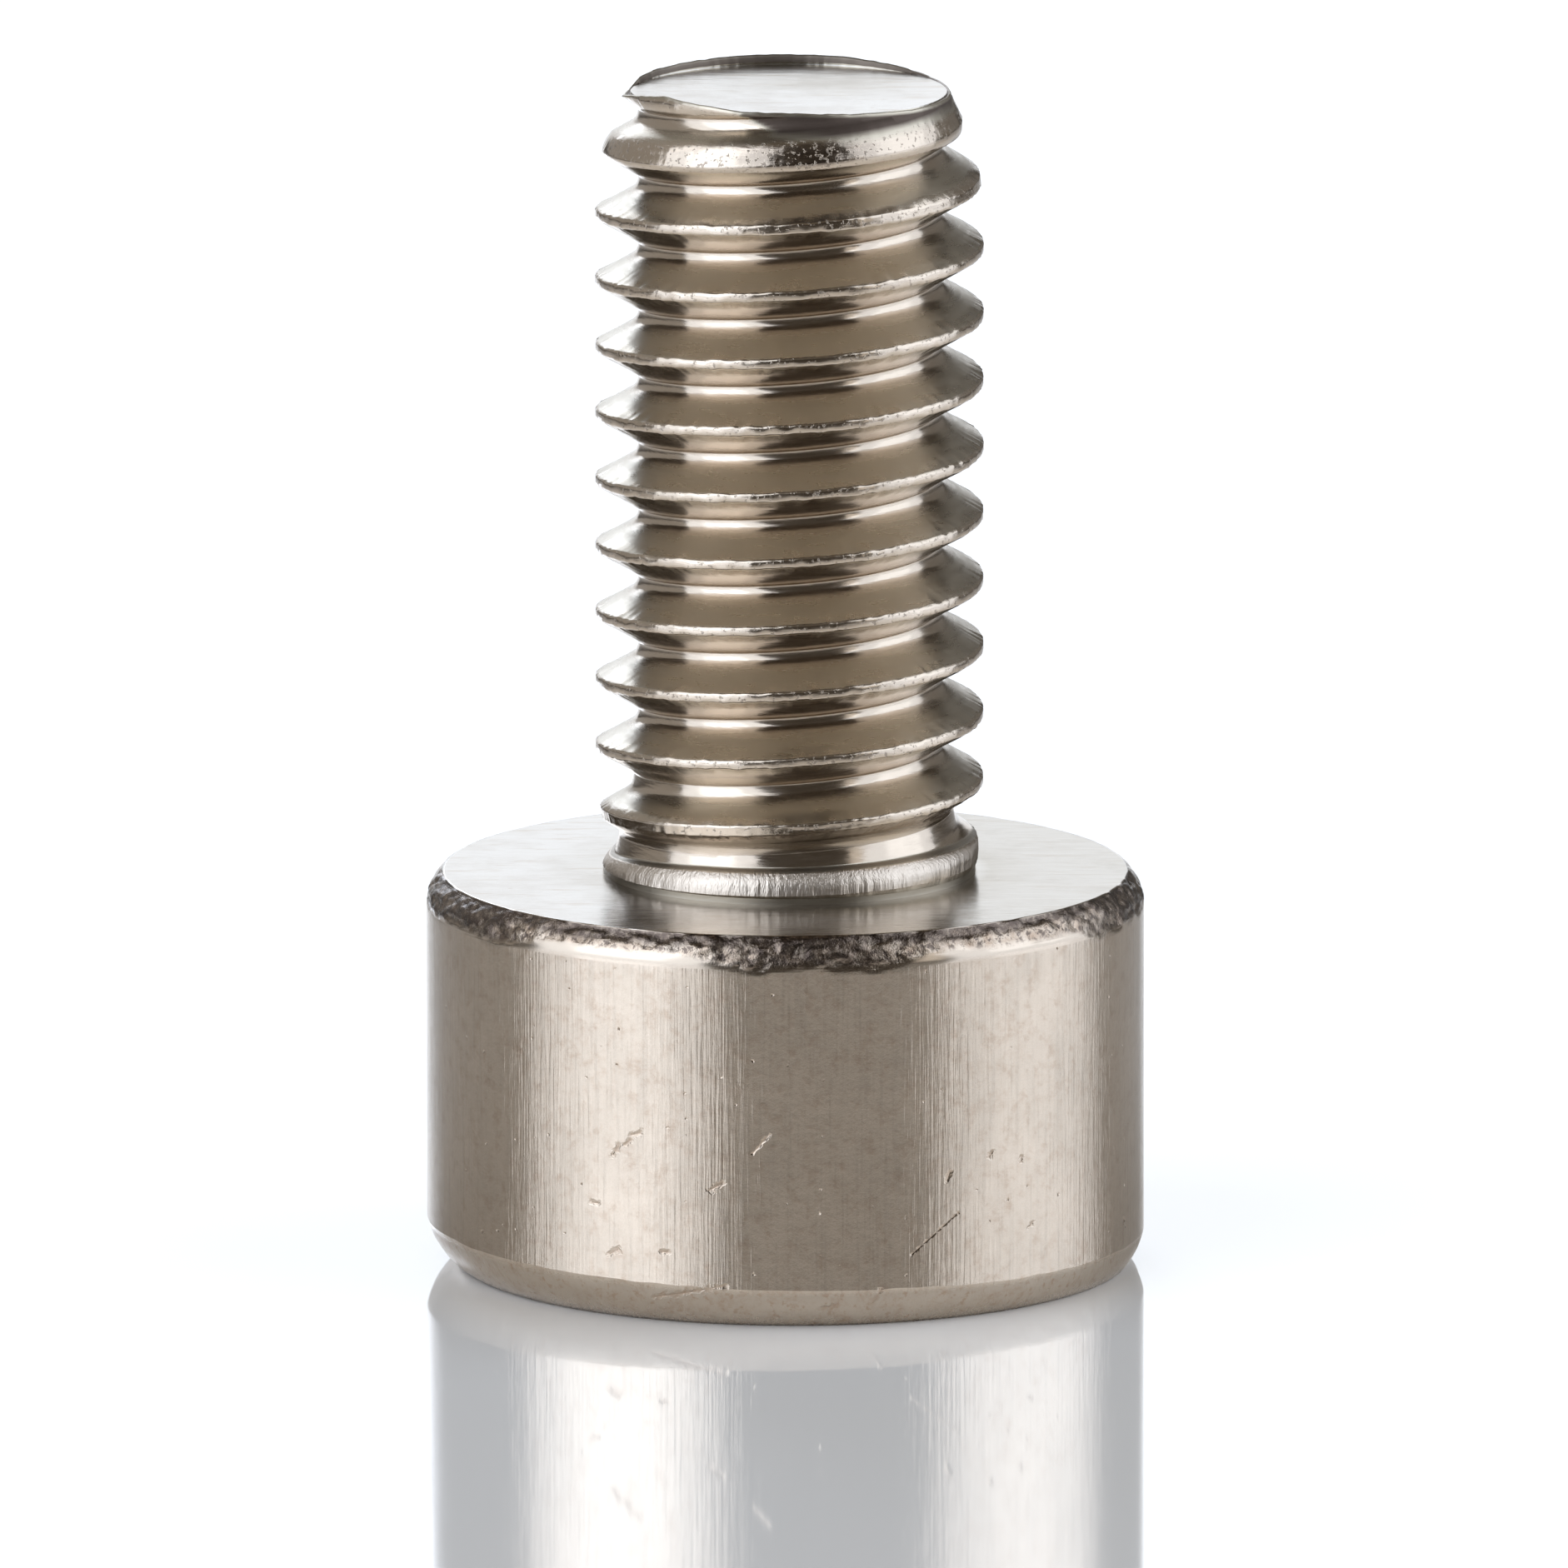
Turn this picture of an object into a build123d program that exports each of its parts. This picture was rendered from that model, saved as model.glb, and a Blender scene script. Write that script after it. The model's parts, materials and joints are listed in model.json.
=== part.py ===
from build123d import *
from build123d.topology import SkipClean
from math import cos, pi, radians, sin, tan
import os

# Hexagon socket cheese head screw, M3 x 6, one piece of stainless steel. It stands on its
# head: the end face with the socket lies on z = 0, and the thread rises along +Z.
# All sizes are in millimetres, and heights on the shank count from the bearing face.

# Head
head_diameter = 5.32
head_height = 2.94
bearing_edge_inset = 0.12
bearing_edge_height = 0.24
end_edge_inset = 0.19
end_edge_height = 0.26

# Hexagon socket in the end face
socket_width = 2.52
socket_depth = 1.35
socket_cone_depth = 0.40
socket_mouth_chamfer = 0.08

# Collar between the bearing face and the thread, a little inside the crest
under_head_radius = 0.10
collar_foot_inset = 0.037
collar_inset = 0.057
collar_height = 0.20

# Shoulder of the blank, where the crest grows from the collar to its full height
shoulder_inset = 0.047
shoulder_start = 0.43
shoulder_end = 0.64

# Rolled thread: one start, right-handed
shank_length = 5.91
thread_diameter = 2.874
pitch = 0.50
flank_angle = 60.0
crest_width = pitch / 8
thread_depth = 0.61343 * pitch
root_flats = 3
first_groove_height = 0.45
runout_slope = 0.70

# Point: two tapers of the blank, from inside the crest down to just above the root, and a
# shallow dish in its end that starts just inside the root
taper_length = 0.90
point_length = 0.47
point_start_inset = 0.057
point_end_above_root = 0.04
dish_edge_below_root = 0.03
dish_depth = 0.04

# The shank is turned as eight staves, so that each crest land is an eighth of a turn long
stave_count = 8
# The groove is cut as single turns, which meet at this angle, clear of the stave joints
groove_joint_angle = 24
groove_overshoot = 0.04
least_volume = 1e-4

head_radius = head_diameter / 2
thread_radius = thread_diameter / 2
root_radius = thread_radius - thread_depth
collar_radius = thread_radius - collar_inset
collar_top = head_height + collar_height
total_height = head_height + shank_length
half_flank = radians(flank_angle / 2)

# Depth of the sharp vee below the crest, and the arc that rounds it off at the root
vee_depth = (pitch - crest_width) / 2 / tan(half_flank)
root_arc_radius = vee_depth - thread_depth


def revolved(outline, angle=360):
    """Solid of an outline of edges in the XZ plane, turned about the screw's axis."""
    return revolve(Plane.XZ * Face(Wire(outline)), Axis.Z, angle).solid()


def edge_arc_radius(inset, height):
    """Radius of the arc that leaves the head's side smoothly and ends this far in and up."""
    return (inset**2 + height**2) / (2 * inset)


def head_blank():
    """The upset head with its two rounded edges, and the collar on its bearing face."""
    end_rim = head_radius - end_edge_inset
    bearing_rim = head_radius - bearing_edge_inset
    end_arc = edge_arc_radius(end_edge_inset, end_edge_height)
    bearing_arc = edge_arc_radius(bearing_edge_inset, bearing_edge_height)
    collar_foot = thread_radius - collar_foot_inset
    fillet_foot = collar_foot + under_head_radius
    fillet_top = head_height + under_head_radius
    side_top = head_height - bearing_edge_height
    return revolved([
        Line((0, 0), (end_rim, 0)),
        RadiusArc((end_rim, 0), (head_radius, end_edge_height), -end_arc),
        Line((head_radius, end_edge_height), (head_radius, side_top)),
        RadiusArc((head_radius, side_top), (bearing_rim, head_height), -bearing_arc),
        Line((bearing_rim, head_height), (fillet_foot, head_height)),
        RadiusArc((fillet_foot, head_height), (collar_foot, fillet_top), under_head_radius),
        Line((collar_foot, fillet_top), (collar_radius, collar_top)),
        Line((collar_radius, collar_top), (0, collar_top)),
        Line((0, collar_top), (0, 0)),
    ])


def shank_staves():
    """The blank of the thread, with its tapered point and dished end, in equal staves."""
    dish_radius = root_radius - dish_edge_below_root
    dish_floor = total_height - dish_depth
    dish_middle = total_height - dish_depth * 3 / 4
    foot = (collar_radius, collar_top)
    shoulder = (thread_radius - shoulder_inset, head_height + shoulder_start)
    full_start = (thread_radius, head_height + shoulder_end)
    full_end = (thread_radius, total_height - taper_length)
    point_start = (thread_radius - point_start_inset, total_height - point_length)
    point_end = (root_radius + point_end_above_root, total_height)
    dish_edge = (dish_radius, total_height)
    outline = [
        Line((0, collar_top), foot),
        Line(foot, shoulder),
        Line(shoulder, full_start),
        Line(full_start, full_end),
        Line(full_end, point_start),
        Line(point_start, point_end),
        Line(point_end, dish_edge),
        ThreePointArc(dish_edge, (dish_radius / 2, dish_middle), (0, dish_floor)),
        Line((0, dish_floor), (0, collar_top)),
    ]
    stave_angle = 360 / stave_count
    stave = revolved(outline, stave_angle)
    return [Rot(0, 0, index * stave_angle) * stave for index in range(stave_count)]


def groove_section():
    """Section of the groove: two straight flanks, and a root rounded in a few flats."""
    arc_centre = root_radius + root_arc_radius
    reach = pi / 2 - half_flank
    corners = []
    for index in range(root_flats + 1):
        angle = reach * (2 * index / root_flats - 1)
        corners.append((arc_centre - root_arc_radius * cos(angle), root_arc_radius * sin(angle)))
    flank_foot_x, flank_foot_z = corners[-1]
    mouth_x = thread_radius + groove_overshoot
    mouth_z = flank_foot_z + (mouth_x - flank_foot_x) * tan(half_flank)
    corners += [(mouth_x, mouth_z), (mouth_x, -mouth_z)]
    return Plane.XZ * Face(Polyline(*corners, close=True).wire())


def rolled_zone():
    """Space that the rolling dies reach, above the bevel that ends the thread at the collar."""
    bevel_top = collar_top + runout_slope * collar_radius
    outside = 2 * thread_radius
    top = total_height + 2 * pitch
    corners = [
        (0, bevel_top),
        (collar_radius, collar_top),
        (outside, collar_top),
        (outside, top),
        (0, top),
    ]
    return revolved(Polyline(*corners, close=True).edges())


def groove_turns():
    """Single turns of the groove, from under the bevel at the collar out through the point."""
    path = Helix(pitch=pitch, height=pitch, radius=root_radius)
    turn = Rot(0, 0, groove_joint_angle) * sweep(groove_section(), path=path, is_frenet=True)
    zone = rolled_zone()
    height = head_height + first_groove_height + pitch * (groove_joint_angle / 360 - 1)
    turns = []
    while height < total_height + pitch:
        reached = (Pos(0, 0, height) * turn).solid().intersect(zone)
        turns += [piece for piece in reached.solids() if piece.volume > least_volume]
        height += pitch
    return turns


def hexagon_socket():
    """The key's space: a hexagon with a chamfered mouth and a shallow coned bottom."""
    corner_radius = socket_width / 2 / cos(pi / 6)
    flats = extrude(RegularPolygon(radius=corner_radius, side_count=6), socket_depth).solid()
    mouth_radius = corner_radius + socket_mouth_chamfer
    mouth = Pos(0, 0, mouth_radius / 2) * Cone(mouth_radius, 0, mouth_radius)
    bottom = Pos(0, 0, socket_depth + socket_cone_depth / 2) * Cone(
        socket_width / 2, 0, socket_cone_depth
    )
    return flats.fuse(mouth.solid(), bottom.solid())


with SkipClean():
    blank = head_blank().fuse(*shank_staves())
    threaded = blank.cut(*groove_turns())
    screw = threaded.cut(*hexagon_socket().solids())

os.makedirs("parts", exist_ok=True)
export_step(screw, "parts/screw.step")
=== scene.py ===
import json
import math
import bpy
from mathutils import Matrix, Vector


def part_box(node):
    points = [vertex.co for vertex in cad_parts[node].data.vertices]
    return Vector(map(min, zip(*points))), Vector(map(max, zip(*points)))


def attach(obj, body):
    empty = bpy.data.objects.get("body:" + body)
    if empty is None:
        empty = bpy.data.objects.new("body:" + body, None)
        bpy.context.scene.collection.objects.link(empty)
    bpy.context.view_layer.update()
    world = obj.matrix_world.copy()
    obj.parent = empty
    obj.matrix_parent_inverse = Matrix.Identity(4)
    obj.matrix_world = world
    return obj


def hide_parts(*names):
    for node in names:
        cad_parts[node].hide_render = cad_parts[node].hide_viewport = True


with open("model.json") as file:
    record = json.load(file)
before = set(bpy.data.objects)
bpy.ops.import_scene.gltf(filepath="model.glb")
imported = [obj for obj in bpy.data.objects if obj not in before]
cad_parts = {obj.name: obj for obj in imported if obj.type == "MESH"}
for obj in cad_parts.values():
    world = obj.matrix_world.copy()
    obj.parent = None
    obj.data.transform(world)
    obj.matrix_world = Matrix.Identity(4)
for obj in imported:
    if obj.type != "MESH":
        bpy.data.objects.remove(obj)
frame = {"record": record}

from types import SimpleNamespace

import bpy
import numpy as np
from mathutils import Vector

bl_info = {
    "name": "Cheese Head Screw",
    "version": (1, 0, 0),
    "blender": (4, 5, 0),
    "location": "3D View > Sidebar > Screw",
    "description": "Finishes a rolled and drawn stainless steel cheese head screw",
    "category": "Object",
}

MM = 0.001
TURN = 2 * math.pi

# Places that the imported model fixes, in millimetres
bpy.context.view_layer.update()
MOUNTS = {mount["name"]: mount for mount in frame["record"]["mounts"]}
TOTAL_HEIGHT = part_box("screw")[1][2] / MM
HEAD_RADIUS = MOUNTS["head_side"]["dims"]["r_mm"]
THREAD_RADIUS = MOUNTS["thread"]["dims"]["r_mm"]
HEAD_HEIGHT = MOUNTS["bearing_face"]["pos_m"][2] / MM

# Slots of the screw's materials, in the order of STEELS
ROLLED, DRAWN, FACED, TORN, PUNCHED = range(5)

ORIGIN = BLACK = (0.0, 0.0, 0.0)
WHITE = (1.0, 1.0, 1.0)


# ---------------- settings


def real(name, description, value, **more):
    return bpy.props.FloatProperty(name=name, description=description, default=value, **more)


def length(name, description, millimetres):
    return real(name, description, millimetres * MM, min=0.0, precision=6, unit="LENGTH",
                subtype="DISTANCE")


def angle(name, description, degrees):
    return real(name, description, math.radians(degrees), unit="ROTATION", subtype="ANGLE")


def amount(name, description, value, most=1.0):
    return real(name, description, value, min=0.0, max=most)


def count(name, description, value):
    return bpy.props.IntProperty(name=name, description=description, default=value, min=3)


def colour(name, description, value):
    return bpy.props.FloatVectorProperty(name=name, description=description, default=value, size=3,
                                         min=0.0, max=1.0, subtype="COLOR")


class ScrewHead(bpy.types.PropertyGroup):
    """Sizes of the head, its edges, its socket and the collar on it"""

    columns: count("Columns", "Steps round the head's side and edges", 660)
    bearing_edge_inset: length("Bearing edge inset", "How far the torn edge comes in", 0.12)
    bearing_edge_height: length("Bearing edge height", "How far the torn edge comes down", 0.24)
    end_edge_inset: length("End edge inset", "How far the edge on the floor comes in", 0.19)
    end_edge_height: length("End edge height", "How high the edge on the floor is", 0.26)
    tear_depth: length("Tear depth", "Roughness of the torn edge", 0.022)
    socket_width: length("Socket width", "Across flats of the hexagon", 2.52)
    socket_depth: length("Socket depth", "Depth of the hexagon's flats", 1.35)
    socket_cone: length("Socket cone", "Depth of the cone in the socket's bottom", 0.40)
    socket_chamfer: length("Socket chamfer", "Chamfer at the socket's mouth", 0.08)
    fillet: length("Fillet", "Radius between the bearing face and the collar", 0.10)
    collar_foot_inset: length("Collar foot inset", "Collar's foot inside the crest", 0.037)
    collar_inset: length("Collar inset", "Collar's top inside the crest", 0.057)
    collar_height: length("Collar height", "Collar's top above the bearing face", 0.20)


class ScrewThread(bpy.types.PropertyGroup):
    """Sizes of the rolled thread and its point"""

    columns: count("Columns", "Steps round the shank", 330)
    off_centre: length("Off centre", "How far the shank stands to the right of the head", 0.03)
    pitch: length("Pitch", "Advance of the thread in one turn", 0.50)
    flank_angle: angle("Flank angle", "Angle between the two flanks", 60.0)
    first_groove: length("First groove", "Height of the root over the bearing face at +X", 0.45)
    ring_top: length("Ring top", "Top of the collar's ring over the bearing face", 0.235)
    neck_inset: length("Neck inset", "Run-out's neck inside the ring", 0.11)
    neck_slope: amount("Neck slope", "Taper of the run-out's neck", 0.24)
    shoulder_inset: length("Shoulder inset", "Shoulder inside the crest", 0.047)
    shoulder_start: length("Shoulder start", "Shoulder over the bearing face", 0.43)
    shoulder_end: length("Shoulder end", "Start of the full crest over the bearing face", 0.64)
    taper_length: length("Taper length", "Where the crest starts to shrink, from the point", 0.90)
    point_length: length("Point length", "Where the steeper taper starts, from the point", 0.47)
    point_start_inset: length("Point start inset", "Steeper taper's start inside the crest", 0.057)
    point_end_above_root: length("Point end", "Point's rim outside the root", 0.04)
    dish_depth: length("Dish depth", "Depth of the dish in the point's end", 0.045)
    burr: length("Burr", "Roughness of the rolled crest", 0.003)
    ragged: length("Ragged edge", "Waviness of the crest's two edges", 0.009)


class ScrewFinish(bpy.types.PropertyGroup):
    """Colours and surface of the steel"""

    steel: colour("Steel", "Colour of the drawn and rolled steel", (0.505, 0.416, 0.325))
    bright: colour("Bright steel", "Colour of the faced and burnished steel", (0.690, 0.660, 0.620))
    # Duller steel of the upper flanks, darker partly as painted shade; the same colour also paints
    # shade on the bearing face, the ring's ledge and the corner at the ring's foot
    flank: colour("Flank", "Colour of the dull upper flanks", (0.405, 0.352, 0.272))
    # Also the colour of the painted shade on the edge on the floor
    stain: colour("Stain", "Colour of the darker patches", (0.39, 0.325, 0.255))
    rust: colour("Rust", "Colour of the patches in the torn edge", (0.30, 0.20, 0.13))
    # Grime colour, also used for painted shade: the strip under the point's rim, the ring's ledge,
    # the first crest in front and the dark parts of the torn edge
    grime: colour("Grime", "Colour of the dark line and specks", (0.10, 0.075, 0.06))
    side_roughness: amount("Side roughness", "Roughness of the drawn head", 0.14)
    thread_roughness: amount("Thread roughness", "Roughness of the rolled flanks", 0.155)
    face_roughness: amount("Face roughness", "Roughness of the bearing face", 0.22)


class ScrewStudio(bpy.types.PropertyGroup):
    """Floor, lights and camera"""

    view_width: length("View width", "Width of the view at the screw", 11.617)
    view_elevation: angle("View elevation", "Camera's height over the horizon", 11.0)
    view_distance: length("View distance", "Camera's distance from the screw", 300.0)
    aim_height: length("Aim height", "Height that the camera points at", 3.584)
    left_lamp: amount("Left lamp", "Brightness of the left softbox", 2.28, 10.0)
    left_spot: amount("Left spot", "Extra brightness in the left one's middle", 1.10, 10.0)
    right_lamp: amount("Right lamp", "Brightness of the right softbox", 1.96, 10.0)
    right_spot: amount("Right spot", "Extra brightness in the right one's middle", 0.60, 10.0)
    back_lamp: amount("Back lamp", "Brightness of the softbox behind", 0.15, 10.0)
    rim_lamp: amount("Rim lamp", "Brightness of the softbox behind on the left", 3.20, 10.0)
    lamp_tint: colour("Lamp tint", "Colour of the lamps", (0.74, 0.84, 1.0))
    card: amount("Card", "Brightness of the white card behind", 1.17, 10.0)
    card_tint: colour("Card tint", "Colour of the white card behind", (0.92, 0.955, 1.0))
    ambient: colour("Ambient", "Even light on the floor", (0.40, 0.335, 0.225))
    room: colour("Room", "Colour of the room over the screw", (0.20, 0.18, 0.155))
    floor: colour("Floor", "Colour of the floor", (0.92, 0.92, 0.92))


def sizes_of(group):
    """A group's settings by name, with its lengths in millimetres."""
    sizes = {}
    for key in group.__annotations__:
        value = getattr(group, key)
        is_length = getattr(group.bl_rna.properties[key], "unit", "NONE") == "LENGTH"
        sizes[key] = value / MM if is_length else value
    return SimpleNamespace(**sizes)


# ---------------- shape of the steel
#
# Places round the screw are counted in turns: 0 is at the right, 0.25 behind, 0.5 at the left and
# 0.75 in front. All lengths are in millimetres.


class Grain:
    """Smooth noise from -1 to 1 over turns and heights, which closes on itself round the screw."""

    ROWS = 512

    def __init__(self, seed, cells_round, cell_height):
        self.cells = cells_round
        self.height = cell_height
        self.values = np.random.default_rng(seed).uniform(-1, 1, (cells_round, self.ROWS))

    def __call__(self, turns, height):
        across = np.asarray(turns) * self.cells
        up = np.asarray(height) / self.height
        across, up = np.broadcast_arrays(across, up)
        left, below = np.floor(across).astype(int), np.floor(up).astype(int)
        s, t = across - left, up - below
        s, t = s * s * (3 - 2 * s), t * t * (3 - 2 * t)

        def at(a, b):
            return self.values[(left + a) % self.cells, (below + b) % self.ROWS]

        lower = at(0, 0) * (1 - s) + at(1, 0) * s
        upper = at(0, 1) * (1 - s) + at(1, 1) * s
        return lower * (1 - t) + upper * t


def step(low, high, value):
    """0 below low, 1 above high, smooth between."""
    t = np.clip((np.asarray(value) - low) / (high - low), 0, 1)
    return t * t * (3 - 2 * t)


def hump(value, middle, width):
    """1 in the middle, falling to 0 on both sides as a bell."""
    return np.exp(-(((value - middle) / width) ** 2))


def soft_least(a, b, blend):
    """The lesser of two values, rounded over where they meet."""
    h = np.maximum(blend - np.abs(a - b), 0) / blend
    return np.minimum(a, b) - h * h * blend / 4


def soft_most(a, b, blend):
    return -soft_least(-a, -b, blend)


def rim_rise(turns):
    """Height of the point's rim over its nominal place: high behind, notched on the left."""
    places = [0.0, 0.08, 0.13, 0.2, 0.3, 0.42, 0.455, 0.48, 0.5, 0.53, 0.60,
              0.66, 0.71, 0.75, 0.817, 0.886, 0.96, 1.0]
    rises = [-0.06, -0.036, -0.01, 0.022, 0.026, 0.005, -0.01, -0.06, -0.08, -0.04, 0.03,
             0.012, -0.014, -0.022, -0.046, -0.062, -0.057, -0.06]
    return np.interp(turns, places, rises)


class Shank:
    """Radius of the shank's steel over angle and height, from the collar's foot to the point."""

    CREST_PART = 8          # the crest's land is this part of the pitch
    ARC_UNDER = 0.012       # root's arc beside the flank that faces the head
    ARC_OVER = 0.106        # root's arc beside the flank that faces the point
    UPPER_SAG = 0.009       # hollow of the flank that faces the point
    LOWER_SAG = 0.004
    CREST_ROUNDING = 0.02
    RUNOUT_ROUNDING = 0.03
    NECK_ROUNDING = 0.01
    # Height of the ring's top edge over the bearing face
    RING_PLACES = (0.0, 0.25, 0.5, 0.583, 0.667, 0.75, 0.875, 1.0)
    RING_TOPS = (0.26, 0.19, 0.125, 0.18, 0.222, 0.238, 0.258, 0.26)
    # How far the ring is inside the collar's radius, by the distance below its top edge
    BEAD_PLACES = (-0.5, 0.0, 0.02, 0.06, 0.11, 0.15)
    BEAD_INSETS = (2.055, 0.055, 0.035, 0.004, -0.012, -0.016)
    # Depth of the strip under the point's rim that gets painted shade, where the thread there only
    # mirrors the dark room
    STRIP_PLACES = (0.69, 0.74, 0.80, 0.84, 0.89, 0.97, 1.03)
    STRIP_DEPTHS = (0.0, 0.21, 0.21, 0.18, 0.13, 0.11, 0.0)
    # Painted shade on the crest nearest the point, in front under the rim: where it is darkest, its
    # width and its strength
    SOOT_PLACE, SOOT_WIDTH, SOOT = 0.77, 0.05, 0.75
    RAGGED = (0.17, 0.215)  # distances from the root where the crest's wave starts and is full
    TOOTH = 0.006           # height of the low crests' teeth
    SWELL = 0.0015          # slow unevenness of the whole shank

    def __init__(self, head, thread):
        self.thread = thread
        self.crest = THREAD_RADIUS
        self.pitch = thread.pitch
        self.half_flank = math.tan(thread.flank_angle / 2)
        self.land = self.pitch / self.CREST_PART
        vee = (self.pitch - self.land) / 2 / self.half_flank
        self.root = self.crest - vee + (self.ARC_OVER + self.ARC_UNDER) / 2
        self.root_shift = self.half_flank * (self.ARC_OVER - self.ARC_UNDER) / 2
        self.collar = self.crest - head.collar_inset
        self.groove_start = HEAD_HEIGHT + thread.first_groove
        self.blank_heights, self.blank_radii = zip(
            (HEAD_HEIGHT + head.fillet * 1.6, self.collar + 0.018),
            (HEAD_HEIGHT + thread.ring_top, self.collar + 0.014),
            (HEAD_HEIGHT + thread.shoulder_start, self.crest - thread.shoulder_inset),
            (HEAD_HEIGHT + thread.shoulder_end, self.crest),
            (TOTAL_HEIGHT - thread.taper_length, self.crest),
            (TOTAL_HEIGHT - thread.point_length, self.crest - thread.point_start_inset),
            (TOTAL_HEIGHT, self.root + thread.point_end_above_root),
        )
        self.coarse = Grain(11, 90, 0.09)
        self.fine = Grain(12, thread.columns, 0.03)
        self.nibble = Grain(13, thread.columns // 2, 0.06)
        self.swell = Grain(14, 12, 0.35)
        self.teeth = Grain(15, thread.columns, 0.5)

    def blank(self, height):
        return np.interp(height, self.blank_heights, self.blank_radii)

    def off_root(self, turns, height):
        """Distance above the nearest root's centre line."""
        phase = (height - self.groove_start) / self.pitch - turns
        return (phase - np.round(phase)) * self.pitch

    def groove(self, turns, height):
        off = self.off_root(turns, height)
        wave = self.nibble(turns, height) * 0.6 + self.fine(turns, height) * 0.4
        away = np.abs(off - self.root_shift)
        away = away + self.thread.ragged * wave * step(*self.RAGGED, np.abs(off))
        arc = np.where(off > self.root_shift, self.ARC_UNDER, self.ARC_OVER)
        reach = arc * math.cos(self.thread.flank_angle / 2)
        in_arc = self.root + arc - np.sqrt(arc**2 - np.minimum(away, reach) ** 2)
        on_flank = self.root - arc + away / self.half_flank
        radius = np.where(away < reach, in_arc, on_flank)
        along = np.clip((radius - self.root) / (self.crest - self.root), 0, 1)
        sag = np.where(off < 0, self.UPPER_SAG, self.LOWER_SAG)
        return radius - sag * 4 * along * (1 - along)

    def ring_edge(self, turns):
        """Height of the ring's top edge, which rises with the thread."""
        return HEAD_HEIGHT + np.interp(turns, self.RING_PLACES, self.RING_TOPS)

    def runout(self, turns, height):
        """The ring's bead and the steep neck over it, where the groove fades out."""
        below = self.ring_edge(turns) - height
        ring = self.collar - np.interp(below, self.BEAD_PLACES, self.BEAD_INSETS)
        fall = self.thread.neck_slope * (height - HEAD_HEIGHT - self.thread.ring_top)
        neck = self.collar - self.thread.neck_inset - fall
        return soft_most(ring, neck, self.NECK_ROUNDING)

    def marks(self, turns, height):
        """How dull and darkened the flank is, partly as painted shade, going from 1 to 2 for
        painted shade under the point's rim, and how burred the crest is, going past 1 for painted
        shade on the first crest in front.
        """
        off = self.off_root(turns, height)
        groove = self.groove(turns, height)
        burred = step(-0.03, 0.005, groove - self.blank(height))
        # Upper flanks: duller steel, and darker partly as painted shade for the shaded floor that
        # they mirror
        dull_and_shaded = step(-0.045, -0.085, off) * (1 - burred) * step(0.42, 0.55, height - HEAD_HEIGHT)
        # Painted shade in a strip under the point's rim, where the thread only mirrors the dark
        # room
        under_rim = TOTAL_HEIGHT + rim_rise(turns) - height
        deep = np.interp(turns, self.STRIP_PLACES, self.STRIP_DEPTHS, period=1.0)
        grime_and_painted_shade = step(deep, 0.6 * deep - 0.001, under_rim)
        # Painted shade on the first crest in front, under the point's rim
        painted_shade = self.SOOT * hump(turns, self.SOOT_PLACE, self.SOOT_WIDTH)
        painted_shade = painted_shade * step(0.60, 0.45, TOTAL_HEIGHT - height)
        return np.maximum(dull_and_shaded, 2.0 * grime_and_painted_shade), burred * (1 - grime_and_painted_shade) * (1 + painted_shade)

    def ring_marks(self, turns, height):
        """How much painted shade the ledge at the ring's top edge gets, and how toothed the ring
        is.
        """
        below = self.ring_edge(turns) - height
        # Painted shade in the step at the ring's top edge
        grime_and_painted_shade = step(-0.030, -0.018, below) * step(0.008, 0.0, below) * 1.4
        return grime_and_painted_shade, 0.5 * step(-0.004, 0.006, below)

    def radius(self, turns, height):
        groove, blank = self.groove(turns, height), self.blank(height)
        rolled = soft_most(groove, self.runout(turns, height), self.RUNOUT_ROUNDING)
        radius = soft_least(rolled, blank, self.CREST_ROUNDING)
        on_crest = step(-0.05, 0.01, rolled - blank)
        bare = step(TOTAL_HEIGHT - 0.95, TOTAL_HEIGHT - 0.6, height)
        low = 1 - step(0.2, 0.75, height - HEAD_HEIGHT)
        rough = self.fine(turns, height) * 0.65 + self.coarse(turns, height) * 0.35
        burr = self.thread.burr * rough * (0.6 + 0.5 * bare + 0.2 * low)
        toothed = self.TOOTH * low * self.teeth(turns, height)
        return radius + on_crest * (burr + toothed) + self.SWELL * self.swell(turns, height)

    def rows(self):
        """Rows of one pitch, as distances above the root's centre line."""
        edge = (self.pitch - self.land) / 2
        beside = 0.012          # rows this far on each side of the crest's edges round them off
        across = math.cos(self.thread.flank_angle / 2)
        over, under = self.ARC_OVER * across, self.ARC_UNDER * across
        foot, top = self.root_shift - over, self.root_shift + under
        rows = [-edge - beside, -edge, -edge + beside]
        rows += [foot - (edge + foot) * part for part in (0.6, 0.25)]
        rows += [self.root_shift - over * part for part in (1.0, 0.72, 0.45, 0.2, 0.0)]
        rows += [self.root_shift + under * part for part in (0.5, 1.0)]
        return rows + [(top + edge) / 2, edge - beside, edge, edge + beside]


# ---------------- mesh


class Sheet:
    """One part of the map: a strip by its width, or a disc by half its width."""

    MAP_WIDTH = 17.6        # millimetres that the whole map is wide

    def __init__(self, left, bottom, size):
        self.left, self.bottom, self.size = left, bottom, size

    def place(self, across, up):
        return ((self.left + across) / self.MAP_WIDTH, (self.bottom + up) / self.MAP_WIDTH)

    def strip(self, up):
        """Map of a ring that is unrolled into a straight line."""
        return lambda turns: self.place(self.size * turns, up)

    def disc(self, radius):
        """Map of a ring that stays a circle."""
        return lambda turns: self.place(
            self.size + radius * math.cos(turns * TURN), self.size + radius * math.sin(turns * TURN)
        )


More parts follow.
